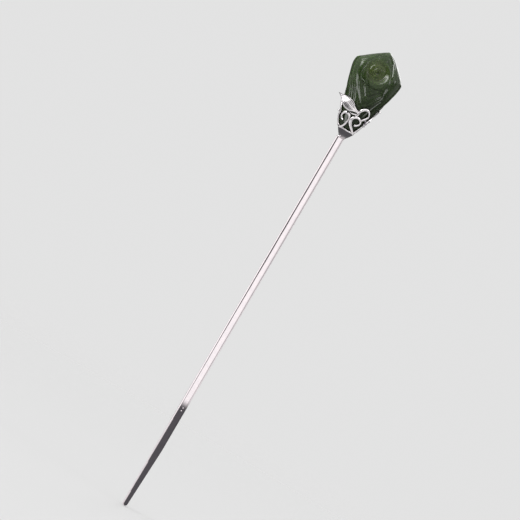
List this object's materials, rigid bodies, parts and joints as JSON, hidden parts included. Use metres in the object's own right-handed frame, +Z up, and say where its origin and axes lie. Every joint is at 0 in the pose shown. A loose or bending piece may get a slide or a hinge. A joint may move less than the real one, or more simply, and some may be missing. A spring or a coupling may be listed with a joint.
{
  "type": "hair pin",
  "caption": "Hair stick with a flat tapered silver stem, a cup with wire scrolls and a leaf, and a carved green stone rose bud on top.",
  "frame": {"origin": "on the stem's axis, at the level of the cup's flat underside where the stem is soldered on, which is how far the pin goes into the hair", "axes": "+Z up along the stem from the tip to the bud, -Y the side that the carved rose faces, +X to the right seen from that side"},
  "size_m": [0.0167, 0.0116, 0.16],
  "materials": {
    "polished_silver": "polished, with fine hand-finishing marks",
    "oxidised_silver": "darkened in the recesses",
    "green_jade": "waxy polish, slightly translucent",
    "jewellers_cement": "matt"
  },
  "bodies": {
    "root": {"stem": "polished_silver", "calyx_cup": "polished_silver", "bud_peg": "polished_silver", "cement_bed": "jewellers_cement", "jade_bud": "green_jade", "scroll_left_front": "polished_silver", "scroll_left_back": "polished_silver", "scroll_center_front": "polished_silver", "scroll_center_back": "polished_silver", "loop_front": "polished_silver", "loop_back": "polished_silver", "strut_left_front": "polished_silver", "strut_left_back": "polished_silver", "strut_right_front": "polished_silver", "strut_right_back": "polished_silver", "leaflet_front": "polished_silver", "leaflet_back": "polished_silver", "leaf_front": "polished_silver", "leaf_back": "polished_silver", "tendril_front": "polished_silver", "granule_mid_front": "oxidised_silver", "granule_mid_back": "oxidised_silver", "granule_tip_front": "polished_silver", "granule_side_front": "oxidised_silver"}
  },
  "joints": []
}
